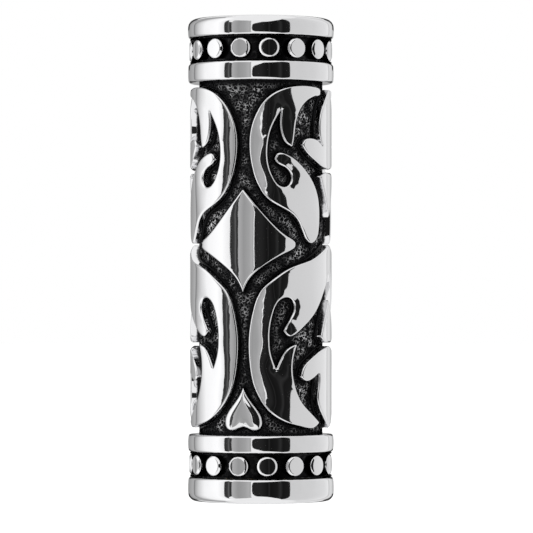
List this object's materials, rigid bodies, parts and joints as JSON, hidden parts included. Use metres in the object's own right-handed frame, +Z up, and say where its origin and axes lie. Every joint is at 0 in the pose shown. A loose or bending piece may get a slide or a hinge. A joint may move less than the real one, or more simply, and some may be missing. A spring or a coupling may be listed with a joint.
{
  "type": "cryptex",
  "caption": "Pocket puzzle cylinder in polished steel with a cast tribal relief body, studded dials near both ends and a hidden vault tube that lifts out.",
  "frame": {"origin": "centre of the flat base, where the base cap stands", "axes": "+Z up along the cylinder's axis, -Y towards the front motif of the relief, +X towards the keyway"},
  "size_m": [0.03, 0.03, 0.0986],
  "materials": {
    "polished_steel": "mirror polished steel bands",
    "cast_relief": "polished relief on a blackened hammered ground",
    "stud_steel": "polished studs with bright rims",
    "blackened_steel": "blackened",
    "brass": "turned",
    "pin_steel": "ground",
    "spring_steel": "tempered, oiled",
    "dark_screw": "black oxide",
    "washer": "low-friction polymer",
    "elastomer": "matte"
  },
  "bodies": {
    "barrel": {"spine_tube": "brass", "base_cap": "polished_steel", "base_screws": "dark_screw", "lower_collar": "polished_steel", "relief_sleeve": "cast_relief", "upper_collar": "polished_steel", "locating_pins": "pin_steel", "stack_clip": "spring_steel", "dial_clip": "spring_steel"},
    "lower_dial": {"lower_dial_ring": "blackened_steel", "lower_dial_studs": "stud_steel", "lower_thrust_washer": "washer", "lower_drag_ring": "elastomer"},
    "upper_dial": {"upper_dial_ring": "blackened_steel", "upper_dial_studs": "stud_steel", "upper_thrust_washer": "washer", "upper_drag_ring": "elastomer"},
    "vault": {"top_cap": "polished_steel", "vault_tube": "brass", "vault_screws": "dark_screw", "lower_lug": "pin_steel", "upper_lug": "pin_steel"}
  },
  "joints": [
    {"name": "lower_dial_turn", "type": "hinge", "parent": "barrel", "child": "lower_dial", "pos_m": [0, 0, 0.0075], "axis": [0, 0, 1], "continuous": true},
    {"name": "upper_dial_turn", "type": "hinge", "parent": "barrel", "child": "upper_dial", "pos_m": [0, 0, 0.092], "axis": [0, 0, 1], "continuous": true},
    {"name": "vault_lift", "type": "slide", "parent": "barrel", "child": "vault", "axis": [0, 0, 1], "range_m": [0, 0.1]}
  ]
}
